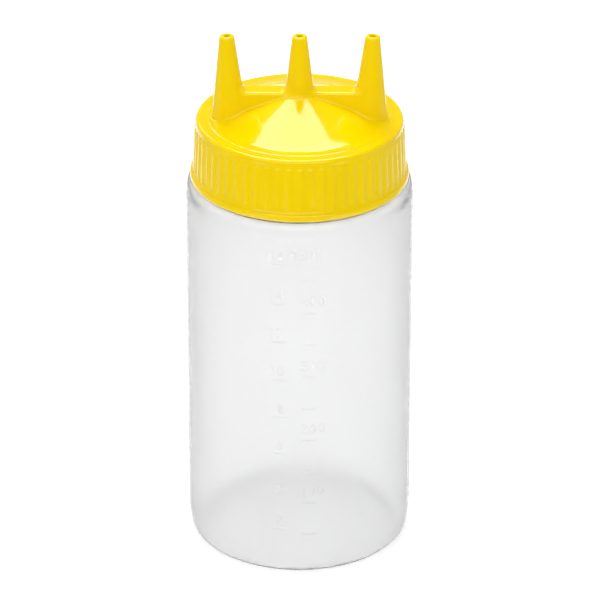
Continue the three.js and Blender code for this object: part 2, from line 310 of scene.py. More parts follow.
def loop(centre_x, centre_y, radius_x, radius_y, start=0.0, end=360.0, steps=12):
    """Points on part of an ellipse, its angles in degrees."""
    angles = np.radians(np.linspace(start, end, steps + 1))
    return [(centre_x + radius_x * math.cos(a), centre_y + radius_y * math.sin(a)) for a in angles]


def arc_points(centre, radius, start, end, steps):
    """Points on an arc in a profile, its angles in degrees."""
    return loop(*centre, radius, radius, start, end, steps)


def line_points(start, end, steps):
    """Points on a straight stretch of a profile, without its first one."""
    shares = np.linspace(0.0, 1.0, steps + 1)[1:]
    return [(start[0] + (end[0] - start[0]) * s, start[1] + (end[1] - start[1]) * s) for s in shares]


def mesh_object(name, vertices, faces, normals=None):
    """A smooth-shaded object from plain lists, with the surface's own normals where they are known."""
    mesh = bpy.data.meshes.new(name)
    mesh.from_pydata(np.asarray(vertices).tolist(), [], faces)
    mesh.shade_smooth()
    if normals is not None:
        mesh.normals_split_custom_set_from_vertices(np.asarray(normals).tolist())
    piece = bpy.data.objects.new(name, mesh)
    bpy.context.scene.collection.objects.link(piece)
    return piece


def turned_points(radii, angles, heights):
    """Grid of points round the axis."""
    return np.stack((radii * np.cos(angles), radii * np.sin(angles), heights), 2)


def turned_faces(row_count, column_count, skipped=frozenset()):
    """Quads between the rows of a turned surface, closed all round."""
    faces = []
    for row in range(row_count - 1):
        for column in range(column_count):
            if (row, column) in skipped:
                continue
            after = (column + 1) % column_count
            low = row * column_count
            high = low + column_count
            faces.append((low + column, low + after, high + after, high + column))
    return faces


# Screw thread

def thread_stand(angle, z, start_z, depth):
    """How far a screw ridge stands out of its wall at an angle and a height."""
    lap = np.mod(angle, 2.0 * math.pi) / (2.0 * math.pi)
    stand = np.zeros(np.broadcast(lap, z).shape)
    for turn in range(math.ceil(THREAD_TURNS)):
        turns = lap + turn
        from_end = np.minimum(turns, THREAD_TURNS - turns)
        fade = np.clip(from_end / THREAD_LEAD_IN, 0.0, 1.0)
        off = np.abs(z - (start_z + THREAD_PITCH * turns))
        flank = (THREAD_ROOT_HALF - off) / (THREAD_ROOT_HALF - THREAD_CREST_HALF)
        stand = np.maximum(stand, depth * fade * smooth_step(0.0, 1.0, flank))
    return stand


# Scales on the wall, as strokes of a round cutter: each glyph is a few lines in a box 1 high

GLYPHS = {
    "0": [loop(0.3, 0.5, 0.28, 0.5)],
    "1": [[(0.12, 0.8), (0.32, 1.0), (0.32, 0.0)]],
    "2": [loop(0.3, 0.72, 0.27, 0.28, 170.0, -35.0) + [(0.03, 0.0), (0.6, 0.0)]],
    "3": [loop(0.28, 0.75, 0.25, 0.25, 150.0, -90.0), loop(0.28, 0.26, 0.28, 0.26, 90.0, -150.0)],
    "4": [[(0.46, 0.0), (0.46, 1.0), (0.02, 0.3), (0.62, 0.3)]],
    "6": [loop(0.3, 0.3, 0.27, 0.3), [(0.03, 0.32), (0.16, 0.72), (0.42, 1.0)]],
    "8": [loop(0.3, 0.75, 0.23, 0.25), loop(0.3, 0.26, 0.28, 0.26)],
    "o": [loop(0.3, 0.32, 0.28, 0.32)],
    "z": [[(0.04, 0.64), (0.54, 0.64), (0.02, 0.0), (0.58, 0.0)]],
    "m": [
        [(0.0, 0.0), (0.0, 0.64)],
        [(0.0, 0.42)] + loop(0.22, 0.42, 0.22, 0.22, 150.0, 0.0, 6) + [(0.44, 0.0)],
        [(0.44, 0.42)] + loop(0.66, 0.42, 0.22, 0.22, 150.0, 0.0, 6) + [(0.88, 0.0)],
    ],
    "l": [[(0.12, 1.0), (0.12, 0.0)]],
}


def text_strokes(text, left, base_z, height=NUMERAL_HEIGHT, pitch=NUMERAL_PITCH):
    """Strokes of a short text on the unrolled wall."""
    strokes = []
    for place, letter in enumerate(text):
        start = left + place * pitch
        for points in GLYPHS[letter]:
            strokes.append([(start + height * x, base_z + height * z) for x, z in points])
    return strokes


def scale_strokes():
    """All strokes of both scales: marks, numerals and units, as points (distance along the wall, height)."""
    strokes = []
    for number in range(OUNCE_COUNT):
        z = OUNCE_FIRST_Z + OUNCE_STEP_Z * number
        text = str(2 * (number + 1))
        left = OUNCE_TICK[1] - OUNCE_NUMERAL_GAP - NUMERAL_PITCH * len(text)
        strokes.append([(OUNCE_TICK[0], z), (OUNCE_TICK[1], z)])
        strokes += text_strokes(text, left, z + OUNCE_NUMERAL_RISE)
    for number in range(MILLILITRE_COUNT):
        z = MILLILITRE_FIRST_Z + MILLILITRE_STEP_Z * number
        amount = 50 * (number + 1)
        strokes.append([(MILLILITRE_TICK[0], z), (MILLILITRE_TICK[1], z)])
        if amount % 100 == 0:
            left = MILLILITRE_TICK[0] - MILLILITRE_NUMERAL_BACK
            strokes += text_strokes(str(amount), left, z + MILLILITRE_NUMERAL_RISE)
    strokes += text_strokes("oz", OUNCE_UNIT_LEFT, UNIT_Z, UNIT_HEIGHT, 0.75 * UNIT_HEIGHT)
    strokes += text_strokes("ml", MILLILITRE_UNIT_LEFT, UNIT_Z, UNIT_HEIGHT, 1.05 * UNIT_HEIGHT)
    return strokes


def scale_heights(along, up, height, width):
    """Height of the scales' strokes over each point of a grid on the unrolled wall."""
    heights = np.zeros((len(up), len(along)))
    reach = width / 2.0
    for stroke in scale_strokes():
        for (x0, z0), (x1, z1) in zip(stroke[:-1], stroke[1:]):
            columns = np.flatnonzero((along > min(x0, x1) - reach) & (along < max(x0, x1) + reach))
            rows = np.flatnonzero((up > min(z0, z1) - reach) & (up < max(z0, z1) + reach))
            if not len(columns) or not len(rows):
                continue
            x = along[columns][None, :] - x0
            z = up[rows][:, None] - z0
            run = np.array((x1 - x0, z1 - z0))
            share = np.clip((x * run[0] + z * run[1]) / max(run @ run, 1e-12), 0.0, 1.0)
            distance = np.hypot(x - share * run[0], z - share * run[1])
            ridge = height * (1.0 - smooth_step(0.25 * reach, reach, distance))
            window = np.ix_(rows, columns)
            heights[window] = np.maximum(heights[window], ridge)
    return heights


# Bottle

def front_inset(angle, z, depth):
    """How far the wall is drawn in over its front at an angle and a height."""
    off = np.abs(np.degrees(np.mod(angle + math.pi / 2.0 + math.pi, 2.0 * math.pi) - math.pi))
    round_front = 1.0 - smooth_step(SCALE_HALF_DEGREES, SCALE_FADE_DEGREES, off)
    panel_high_z = PANEL_LOW_Z + PANEL_ROWS * FINE_PER_ROW * WALL_FINE_STEP
    up_wall = smooth_step(PANEL_LOW_Z - SCALE_FADE_BELOW, PANEL_LOW_Z, z)
    down_wall = 1.0 - smooth_step(panel_high_z, panel_high_z + SCALE_FADE_ABOVE, z)
    return depth * round_front * up_wall * down_wall


def draw_points(steps):
    """Points on the slight draw above the heel, without its last one."""
    shares = np.arange(steps) / steps
    radii = BODY_RADIUS - HEEL_DRAW * (1.0 - shares) ** 2
    return list(zip(radii, HEEL_RADIUS + HEEL_DRAW_HEIGHT * shares))


def dome_points(radius, low, steps):
    """Points of the base's push-up from the axis outwards, without its last one."""
    shares = np.arange(steps) / steps
    return [(radius * s, low + PUSH_UP_HEIGHT * (1.0 - s ** 2)) for s in shares]


def bottle_rows(wall):
    """The bottle's profile from the base's middle, up outside and down inside: a list of (radius, z).

    Also the row where the front panel starts, and the rows between which the neck's thread lies.
    """
    foot_outer = BODY_RADIUS - HEEL_DRAW - HEEL_RADIUS
    foot_inner = foot_outer - FOOT_WIDTH
    shoulder_centre = (BODY_RADIUS - SHOULDER_RADIUS, SHOULDER_TOP_Z - SHOULDER_RADIUS)
    wall_top = (BODY_RADIUS, shoulder_centre[1])
    neck_inner = NECK_RADIUS - NECK_WALL
    row_step = FINE_PER_ROW * WALL_FINE_STEP

    rows = dome_points(foot_inner - FOOT_ROUND, 0.0, 14)[1:]
    rows += arc_points((foot_inner + FOOT_ROUND, FOOT_ROUND), FOOT_ROUND, 180.0, 270.0, 4)[1:]
    rows += line_points(rows[-1], (foot_outer, 0.0), 3)[:-1]
    rows += arc_points((foot_outer, HEEL_RADIUS), HEEL_RADIUS, -90.0, 0.0, 8)[:-1]
    rows += draw_points(6)
    rows.append((BODY_RADIUS, DRAW_TOP_Z))
    panel_start = len(rows)
    rows += [(BODY_RADIUS, PANEL_LOW_Z + row_step * i) for i in range(PANEL_ROWS + 1)]
    rows += line_points(rows[-1], wall_top, 6)[:-1]
    rows += arc_points(shoulder_centre, SHOULDER_RADIUS, 0.0, 90.0, 10)
    fillet_centre = (NECK_RADIUS + NECK_ROOT_FILLET, SHOULDER_TOP_Z + NECK_ROOT_FILLET)
    rows += line_points(rows[-1], (fillet_centre[0], SHOULDER_TOP_Z), 4)[:-1]
    rows += arc_points(fillet_centre, NECK_ROOT_FILLET, 270.0, 180.0, 4)
    thread_start = len(rows)
    rows += line_points(rows[-1], (NECK_RADIUS, LIP_Z - LIP_ROUND), 64)[:-1]
    thread_end = len(rows)
    rows += arc_points((NECK_RADIUS - LIP_ROUND, LIP_Z - LIP_ROUND), LIP_ROUND, 0.0, 90.0, 4)
    rows += arc_points((neck_inner + LIP_ROUND, LIP_Z - LIP_ROUND), LIP_ROUND, 90.0, 180.0, 4)
    inner_radius = SHOULDER_RADIUS - wall
    inner_z = SHOULDER_TOP_Z - wall
    rows += line_points(rows[-1], (neck_inner, inner_z + LIP_ROUND), 8)[:-1]
    rows += arc_points((neck_inner + LIP_ROUND, inner_z + LIP_ROUND), LIP_ROUND, 180.0, 270.0, 3)
    rows += line_points(rows[-1], (shoulder_centre[0], inner_z), 3)[:-1]
    rows += arc_points(shoulder_centre, inner_radius, 90.0, 0.0, 8)
    rows += line_points(rows[-1], (BODY_RADIUS - wall, DRAW_TOP_Z), 24)
    rows += [(radius - wall, z) for radius, z in reversed(draw_points(6)[1:])]
    rows += arc_points((foot_outer, HEEL_RADIUS), HEEL_RADIUS - wall, 0.0, -90.0, 6)
    rows += line_points(rows[-1], (foot_inner, wall), 3)[:-1]
    rows += list(reversed(dome_points(foot_inner, wall, 14)[1:]))
    return rows, panel_start, (thread_start, thread_end)


def bottle_columns():
    """Angles of the bottle's columns, the first at the left end of the front panel."""
    panel = FINE_PER_COLUMN * PANEL_COLUMNS * WALL_FINE_STEP / BODY_RADIUS
    start = -math.pi / 2.0 - panel / 2.0
    inside = start + panel * np.arange(PANEL_COLUMNS) / PANEL_COLUMNS
    rest = 2.0 * math.pi - panel
    outside_count = 4 * round(rest * PANEL_COLUMNS / panel / 4)
    outside = start + panel + rest * np.arange(outside_count) / outside_count
    return np.concatenate((inside, outside)), start, panel


def front_panel(settings, start, width):
    """Grid of points of the fine front panel, with the scales raised on it."""
    columns = FINE_PER_COLUMN * PANEL_COLUMNS
    angles = start + width * np.arange(columns + 1) / columns
    up = PANEL_LOW_Z + WALL_FINE_STEP * np.arange(FINE_PER_ROW * PANEL_ROWS + 1)
    along = (angles + math.pi / 2.0) * BODY_RADIUS
    marks = scale_heights(along, up, settings.mark_height, settings.mark_width)
    angles, heights = np.meshgrid(angles, up)
    radii = BODY_RADIUS - front_inset(angles, heights, settings.mark_height) + marks
    return turned_points(radii, angles, heights)


def build_bottle(settings):
    """The whole bottle as one closed mesh: threaded neck, shoulder, wall with raised scales, domed base."""
    rows, panel_start, (thread_start, thread_end) = bottle_rows(settings.wall)
    columns, panel_angle, panel_width = bottle_columns()
    count = len(columns)
    radii = np.repeat(np.array([row[0] for row in rows])[:, None], count, 1)
    heights = np.repeat(np.array([row[1] for row in rows])[:, None], count, 1)
    angles = np.repeat(columns[None, :], len(rows), 0)
    on_neck = slice(thread_start, thread_end)
    radii[on_neck] += thread_stand(
        angles[on_neck], heights[on_neck], NECK_THREAD_START_Z, NECK_THREAD_DEPTH
    )
    outside = slice(0, thread_start)
    near_wall = radii[outside] > BODY_RADIUS - HEEL_DRAW
    inset = front_inset(angles[outside], heights[outside], settings.mark_height)
    radii[outside] -= np.where(near_wall, inset, 0.0)
    near_shoulder = slice(panel_start + PANEL_ROWS + 1, thread_start)
    climb = (heights[near_shoulder] - SHOULDER_TOP_Z + SHOULDER_RADIUS) / SHOULDER_DRAW_HEIGHT + 1.0
    clear_of_neck = smooth_step(NECK_RADIUS + NECK_WALL, BODY_RADIUS - SHOULDER_RADIUS, radii[near_shoulder])
    radii[near_shoulder] -= SHOULDER_DRAW * np.clip(climb, 0.0, 1.0) ** 2 * clear_of_neck
    turned = turned_points(radii, angles, heights).reshape(-1, 3)

    panel = front_panel(settings, panel_angle, panel_width)
    base_axis = len(turned)
    vertices = np.concatenate((
        turned,
        [(0.0, 0.0, PUSH_UP_HEIGHT), (0.0, 0.0, PUSH_UP_HEIGHT + settings.wall)],
        panel.reshape(-1, 3),
    ))
    fine = base_axis + 2 + np.arange(panel.size // 3).reshape(panel.shape[:2])
    for row in range(PANEL_ROWS + 1):
        for column in range(PANEL_COLUMNS + 1):
            if row in (0, PANEL_ROWS) or column in (0, PANEL_COLUMNS):
                coarse = (panel_start + row) * count + column
                fine[row * FINE_PER_ROW, column * FINE_PER_COLUMN] = coarse

    last = len(rows) - 1
    low_row, high_row = panel_start - 1, panel_start + PANEL_ROWS
    around = {(r, c % count) for r in range(low_row, high_row + 1) for c in range(-1, PANEL_COLUMNS + 1)}
    corners = {(r, c % count) for r in (low_row, high_row) for c in (-1, PANEL_COLUMNS)}
    faces = turned_faces(len(rows), count, around - corners)
    for column in range(PANEL_COLUMNS):
        run = slice(column * FINE_PER_COLUMN, (column + 1) * FINE_PER_COLUMN + 1)
        low = (panel_start - 1) * count + column
        faces.append((low, low + 1, *fine[0, run][::-1].tolist()))
        high = (panel_start + PANEL_ROWS + 1) * count + column
        faces.append((high + 1, high, *fine[-1, run].tolist()))
    for row in range(PANEL_ROWS):
        run = slice(row * FINE_PER_ROW, (row + 1) * FINE_PER_ROW + 1)
        start = (panel_start + row) * count
        far_left = start + count - 1
        faces.append((far_left + count, far_left, *fine[run, 0].tolist()))
        far_right = start + PANEL_COLUMNS + 1
        faces.append((far_right, far_right + count, *fine[run, -1][::-1].tolist()))
    quads = np.stack((fine[:-1, :-1], fine[:-1, 1:], fine[1:, 1:], fine[1:, :-1]), 2)
    faces += [tuple(quad) for quad in quads.reshape(-1, 4).tolist()]
    for column in range(count):
        after = (column + 1) % count
        faces.append((base_axis, after, column))
        faces.append((base_axis + 1, last * count + column, last * count + after))
    return mesh_object("bottle_shell", *without_loose(vertices, faces))


def without_loose(vertices, faces):
    """The same mesh without the points that no face uses."""
    used = np.unique(np.concatenate([np.asarray(face) for face in faces]))
    place = np.full(len(vertices), -1)
    place[used] = np.arange(len(used))
    return vertices[used], [tuple(place[list(face)].tolist()) for face in faces]


# Sealing ring

def build_ring(settings):
    """Flat foam ring with pressed edges, turned about the axis."""
    outer, inner = RING_HIGH.x, RING_INNER_RADIUS
    low, high, edge = RING_LOW.z, RING_HIGH.z, settings.edge_round
    rows = arc_points((outer - edge, low + edge), edge, -90.0, 0.0, 4)
    rows += arc_points((outer - edge, high - edge), edge, 0.0, 90.0, 4)
    rows += line_points(rows[-1], (inner + edge, high), 8)[:-1]
    rows += arc_points((inner + edge, high - edge), edge, 90.0, 180.0, 4)
    rows += arc_points((inner + edge, low + edge), edge, 180.0, 270.0, 4)
    rows += line_points(rows[-1], (outer - edge, low), 8)
    profile = np.array(rows)
    columns = 2.0 * math.pi * np.arange(RING_COLUMNS) / RING_COLUMNS
    heights = np.repeat(profile[:, 1:], RING_COLUMNS, 1)
    vertices = turned_points(profile[:, :1], columns, heights).reshape(-1, 3)
    ring = mesh_object("sealing_ring_foam", vertices, turned_faces(len(rows), RING_COLUMNS))
    weld(ring, 0.01 * MM)
    return ring


def weld(piece, distance):
    """Joins points of a mesh that lie on each other."""
    bm = bmesh.new()
    bm.from_mesh(piece.data)
    bmesh.ops.remove_doubles(bm, verts=bm.verts, dist=distance)
    bm.to_mesh(piece.data)
    bm.free()


# Cap, as a field that is below 0 inside the plastic

def join(a, b, fillet):
    """Union of two fields with a soft fillet where they meet."""
    near = np.maximum(fillet - np.abs(a - b), 0.0)
    return np.minimum(a, b) - near * near / (4.0 * fillet)


def cut(a, b, edge):
    """Field a without field b, with a soft edge."""
    return -join(-a, b, edge)


def rounded(out, up, edge):
    """Field of a side and a top that meet in a round edge, from the distances to both set in by it."""
    outside = np.hypot(np.maximum(out, 0.0), np.maximum(up, 0.0))
    return outside + np.minimum(np.maximum(out, up), 0.0) - edge


def slab(radius, z, half_radius, low, high, edge):
    """Upright round slab with rounded edges, in a profile of radius and height."""
    out = radius - (half_radius - edge)
    up = np.abs(z - (low + high) / 2.0) - ((high - low) / 2.0 - edge)
    return rounded(out, up, edge)


def cone_field(radius, z):
    """Low cone of the cap's top, whose foot spreads out to the flat rim."""
    climb = CONE_SLOPE - CONE_END_SLOPE
    share = np.clip((CONE_EDGE_RADIUS - radius) / CONE_FOOT_WIDTH, 0.0, 1.0)
    foot = CONE_FOOT_WIDTH * share * (CONE_END_SLOPE + climb * share / 2.0)
    height = foot + CONE_SLOPE * np.maximum(CONE_RADIUS - radius, 0.0)
    slope = CONE_END_SLOPE + climb * share
    return np.maximum((z - RIM_Z - height) / np.hypot(1.0, slope), radius - CONE_EDGE_RADIUS)


def cone_hollow_field(radius, z):
    """Room under the cone."""
    foot_z = CONE_Z - CONE_WALL
    low_slope = (foot_z - CAP_SEAT_Z) / (HOLLOW_FOOT_RADIUS - CONE_RADIUS)
    low = CAP_SEAT_Z + low_slope * (HOLLOW_FOOT_RADIUS - radius)
    high = foot_z + CONE_SLOPE * (CONE_RADIUS - radius)
    under = (z - np.maximum(low, high)) / math.hypot(1.0, CONE_SLOPE)
    return np.maximum(under, radius - HOLLOW_FOOT_RADIUS)


def duct_field(x, y, z, inset, edge):
    """Upright bar with drafted sides between the outer nozzles, drawn in by its wall for the hollow."""
    draft = (DUCT_FOOT_HALF - DUCT_TOP_HALF) / DUCT_RISE
    top_z = CONE_Z + DUCT_RISE - inset
    side = (np.abs(y) - (DUCT_TOP_HALF - inset) - draft * (top_z - z)) / math.hypot(1.0, draft)
    along = np.abs(x) - NOZZLE_SPACING
    return rounded(np.maximum(side, along) + edge, z - top_z + edge, edge)


def nozzle_frame(x, y, z, side):
    """Distance from a nozzle's own axis, and height along it above the cone's foot."""
    turn = side * NOZZLE_SPLAY
    from_x = x - side * NOZZLE_SPACING
    from_z = z - CONE_Z
    across = from_x * math.cos(turn) - from_z * math.sin(turn)
    height = from_x * math.sin(turn) + from_z * math.cos(turn)
    return np.hypot(across, y), height


def nozzle_field(radius, height):
    """Tapered nozzle with a rounded tip."""
    taper = (NOZZLE_BASE_RADIUS - NOZZLE_TIP_RADIUS) / NOZZLE_HEIGHT
    edge = NOZZLE_TIP_ROUND
    out = (radius - NOZZLE_BASE_RADIUS + taper * height) / math.hypot(1.0, taper) + edge
    return rounded(out, height - NOZZLE_HEIGHT + edge, edge)


def nozzle_bore_field(radius, height):
    """Tapered bore of a nozzle that ends in a straight land."""
    land = NOZZLE_HEIGHT - NOZZLE_BORE_LAND
    base = NOZZLE_BASE_RADIUS - NOZZLE_WALL
    taper = (base - NOZZLE_BORE_RADIUS) / land
    cone = (radius - base + taper * height) / math.hypot(1.0, taper)
    return np.maximum(np.minimum(cone, radius - NOZZLE_BORE_RADIUS), -height - 2.0 * CAP_WALL)


def cap_field(x, y, z, rib_height, fillet):
    """The whole cap: ribbed skirt, flange, rim, cone, ducts and nozzles, with its hollows cut out."""
    radius = np.hypot(x, y)
    angle = np.arctan2(y, x)
    flange_top_z = FLANGE_Z + FLANGE_EDGE
    wave = 0.5 + 0.5 * np.cos(RIB_COUNT * angle)
    ends = 1.0 - smooth_step(RIB_TOP_Z - RIB_END, RIB_TOP_Z, z)
    ends = ends * smooth_step(flange_top_z, flange_top_z + FLANGE_BLEND, z)
    drafted = radius - SKIRT_DRAFT * (RIB_TOP_Z - z) / SKIRT_DRAFT_HEIGHT
    ribbed = drafted - (RIB_VALLEY + rib_height * wave) * ends
    skirt = slab(ribbed, z, SKIRT_RADIUS, FLANGE_Z, RIB_TOP_Z, RIM_BLEND)
    rim = slab(radius, z, SKIRT_RADIUS, FLANGE_Z, RIM_Z, RIM_ROUND)
    flange = slab(radius, z, FLANGE_RADIUS, FLANGE_Z, flange_top_z, FLANGE_ROUND)
    outer = join(join(rim, skirt, RIM_BLEND), flange, FLANGE_BLEND)
    outer = join(outer, cone_field(radius, z), CONE_BLEND)
    row = duct_field(x, y, z, 0.0, DUCT_ROUND)
    seat = radius - BORE_RADIUS + thread_stand(
        angle, z, NECK_THREAD_START_Z - CAP_THREAD_DROP, CAP_THREAD_DEPTH
    )
    mouth = radius - BORE_RADIUS - (FLANGE_Z + MOUTH_CHAMFER - z)
    hollow = np.maximum(np.minimum(seat, mouth), z - CAP_SEAT_Z)
    hollow = np.minimum(hollow, cone_hollow_field(radius, z))
    hollow = np.minimum(hollow, duct_field(x, y, z, DUCT_WALL, DUCT_ROUND / 2.0))
    for side in (-1, 0, 1):
        from_axis, height = nozzle_frame(x, y, z, side)
        nozzle = np.maximum(nozzle_field(from_axis, height), -height - CONE_WALL)
        row = join(row, nozzle, NOZZLE_FILLET_SHARE * fillet)
        hollow = np.minimum(hollow, nozzle_bore_field(from_axis, height))
    return cut(join(outer, row, fillet), hollow, HOLLOW_EDGE)


def field_values(field, scales):
    """The field at every crossing of three scales, worked out a few levels at a time."""
    xs, ys, zs = scales
    values = np.empty((len(xs), len(ys), len(zs)), np.float32)
    for start in range(0, len(zs), 8):
        part = slice(start, start + 8)
        values[:, :, part] = field(xs[:, None, None], ys[None, :, None], zs[None, None, part])
    return values


def surface_of(field, scales):
    """Points and quads of the surface where the field is 0: one point for each cell that it crosses."""
    values = field_values(field, scales)
    inside = values < 0.0
    cells = np.array(values.shape) - 1
    owners, places, quads = [], [], []
    for axis in range(3):
        low_end = [slice(None)] * 3
        high_end = [slice(None)] * 3
        low_end[axis] = slice(0, -1)
        high_end[axis] = slice(1, None)
        crossed = np.argwhere(inside[tuple(low_end)] != inside[tuple(high_end)])
        beyond = crossed.copy()
        beyond[:, axis] += 1
        low = values[tuple(crossed.T)].astype(float)
        high = values[tuple(beyond.T)].astype(float)
        share = low / (low - high)
        point = np.stack([scale[crossed[:, i]] for i, scale in enumerate(scales)], 1)
        point[:, axis] += share * (scales[axis][beyond[:, axis]] - scales[axis][crossed[:, axis]])
        second, third = (axis + 1) % 3, (axis + 2) % 3
        corners = []
        for back_second, back_third in ((1, 1), (0, 1), (0, 0), (1, 0)):
            cell = crossed.copy()
            cell[:, second] -= back_second
            cell[:, third] -= back_third
            number = (cell[:, 0] * cells[1] + cell[:, 1]) * cells[2] + cell[:, 2]
            corners.append(number)
            owners.append(number)
            places.append(point)
        quad = np.stack(corners, 1)
        leaving = low < 0.0
        quads.append(np.where(leaving[:, None], quad, quad[:, ::-1]))
    owner = np.concatenate(owners)
    place = np.concatenate(places)
    used, index = np.unique(owner, return_inverse=True)
    total = np.bincount(index)
    points = np.stack([np.bincount(index, place[:, i]) / total for i in range(3)], 1)
    return points, np.searchsorted(used, np.concatenate(quads))


def slope_of(field, points, step):
    """Gradient of the field at some points."""
    slope = np.empty_like(points)
    for axis in range(3):
        shift = np.zeros(3)
        shift[axis] = step
        ahead = field(*(points + shift).T)
        behind = field(*(points - shift).T)
        slope[:, axis] = (ahead - behind) / (2.0 * step)
    return slope


def settle_on(field, points, rounds, limit):
    """Points moved onto the surface, by no more than a limit in each round, and its normals there."""
    for _ in range(rounds):
        slope = slope_of(field, points, 0.02 * MM)
        move = field(*points.T) / np.maximum((slope ** 2).sum(1), 0.05)
        step = slope * move[:, None]
        length = np.linalg.norm(step, axis=1, keepdims=True)
        points = points - step * np.minimum(1.0, limit / np.maximum(length, 1e-9))
    slope = slope_of(field, points, 0.05 * MM)
    normals = slope / np.maximum(np.linalg.norm(slope, axis=1, keepdims=True), 1e-9)
    return points, normals


def levels(*stretches):
    """Heights in stretches of (start, end, step), evenly spaced within each."""
    heights = []
    for start, end, step in stretches:
        count = max(1, round((end - start) / step))
        heights += list(start + (end - start) * np.arange(count) / count)
    return np.array(heights + [stretches[-1][1]])


def build_cap(settings):
    """The whole cap as one closed mesh drawn through the field, with its fillets."""
    cell = settings.cell
    reach = FLANGE_RADIUS + 1.5 * cell
    across = np.linspace(-reach, reach, 2 * round(reach / cell) + 1)
    tall = 1.8 * cell
    skirt_low = FLANGE_Z + 5.0 * MM
    top_low = CAP_SEAT_Z - 1.5 * MM
    top_high = CONE_Z + DUCT_RISE + 1.5 * MM
    tips_low = CONE_Z + NOZZLE_HEIGHT - 2.2 * MM
    tips_high = CONE_Z + NOZZLE_HEIGHT + 2.0 * cell
    up = levels(
        (FLANGE_Z - 1.5 * cell, skirt_low, cell),
        (skirt_low, top_low, tall),
        (top_low, top_high, cell),
        (top_high, tips_low, tall),
        (tips_low, tips_high, 0.7 * cell),
    )

    def field(x, y, z):
        return cap_field(x, y, z, settings.rib_height, settings.fillet)

    points, quads = surface_of(field, (across, across, up))
    points, normals = settle_on(field, points, 3, 0.5 * cell)
    return mesh_object("cap_moulding", points, quads.tolist(), normals)


# Finishes

def new_material(name):
    """A node material with its Principled shader, and a coordinate that moves with the piece."""
    material = bpy.data.materials.new(name)
    material.use_nodes = True
    nodes = material.node_tree.nodes
    shader = nodes["Principled BSDF"]
    coordinates = nodes.new("ShaderNodeTexCoord")
    return material, shader, coordinates.outputs["Object"]


def noise(tree, vector, scale, detail, roughness=0.5):
    """A noise texture of so many waves a metre."""
    texture = tree.nodes.new("ShaderNodeTexNoise")
    texture.inputs["Scale"].default_value = scale
    texture.inputs["Detail"].default_value = detail
    texture.inputs["Roughness"].default_value = roughness
    tree.links.new(vector, texture.inputs["Vector"])
    return texture.outputs["Fac"]


def stretched(tree, vector, scale):
    """The coordinate scaled differently along each axis."""
    mapping = tree.nodes.new("ShaderNodeMapping")
    mapping.inputs["Scale"].default_value = scale
    tree.links.new(vector, mapping.inputs["Vector"])
    return mapping.outputs["Vector"]


def mapped(tree, value, start, end, low, high, interpolation="LINEAR"):
    """The value mapped from start to end onto low to high."""
    node = tree.nodes.new("ShaderNodeMapRange")
    node.interpolation_type = interpolation
    node.inputs["From Min"].default_value = start
    node.inputs["From Max"].default_value = end
    node.inputs["To Min"].default_value = low
    node.inputs["To Max"].default_value = high
    tree.links.new(value, node.inputs["Value"])
    return node.outputs["Result"]


def ranged(tree, value, low, high):
    """The value mapped from 0.3 to 0.7, where noise mostly lies, onto low to high."""
    return mapped(tree, value, 0.3, 0.7, low, high)


def combined(tree, operation, *values):
    """Values put together by a math node, each a number or another node's output."""
    node = tree.nodes.new("ShaderNodeMath")
    node.operation = operation
    for socket, value in zip(node.inputs, values):
        if isinstance(value, float):
            socket.default_value = value
        else:
            tree.links.new(value, socket)
    return node.outputs[0]


def mixed(tree, share, first, second):
    """Two shaders, the second of which takes a share."""
    node = tree.nodes.new("ShaderNodeMixShader")
    tree.links.new(share, node.inputs["Fac"])
    tree.links.new(first, node.inputs[1])
    tree.links.new(second, node.inputs[2])
    return node.outputs["Shader"]


def two_tones(tree, value, first, second):
    """A colour between two tones."""
    ramp = tree.nodes.new("ShaderNodeValToRGB")
    ramp.color_ramp.elements[0].position = 0.35
    ramp.color_ramp.elements[1].position = 0.65
    ramp.color_ramp.elements[0].color = (*first, 1.0)
    ramp.color_ramp.elements[1].color = (*second, 1.0)
    tree.links.new(value, ramp.inputs["Fac"])
    return ramp.outputs["Color"]


def bump(tree, shader, height, strength, distance):
    """Fine relief from a height value."""
    node = tree.nodes.new("ShaderNodeBump")
    node.inputs["Strength"].default_value = strength
    node.inputs["Distance"].default_value = distance
    tree.links.new(height, node.inputs["Height"])
    tree.links.new(node.outputs["Normal"], shader.inputs["Normal"])


def cap_plastic(settings):
    """Glossy moulded polyethylene, with faint flow marks and a slight orange peel"""
    material, shader, place = new_material("cap_plastic")
    tree = material.node_tree
    colour = Vector(settings.colour)
    flow = noise(tree, stretched(tree, place, (1.0, 1.0, 0.35)), 90.0, 3.0)
    tone = two_tones(tree, flow, colour * 0.975, colour)
    tree.links.new(tone, shader.inputs["Base Color"])
    smears = noise(tree, place, 260.0, 4.0)
    rough = ranged(tree, smears, settings.roughness - 0.02, settings.roughness + 0.03)
    tree.links.new(rough, shader.inputs["Roughness"])
    bump(tree, shader, noise(tree, place, 900.0, 2.0), 0.12, 0.02 * MM)
    shader.inputs["IOR"].default_value = 1.5
    shader.inputs["Subsurface Weight"].default_value = 0.1
    shader.inputs["Subsurface Radius"].default_value = (1.0, 0.6, 0.1)
    shader.inputs["Subsurface Scale"].default_value = 1.5 * MM
    return material


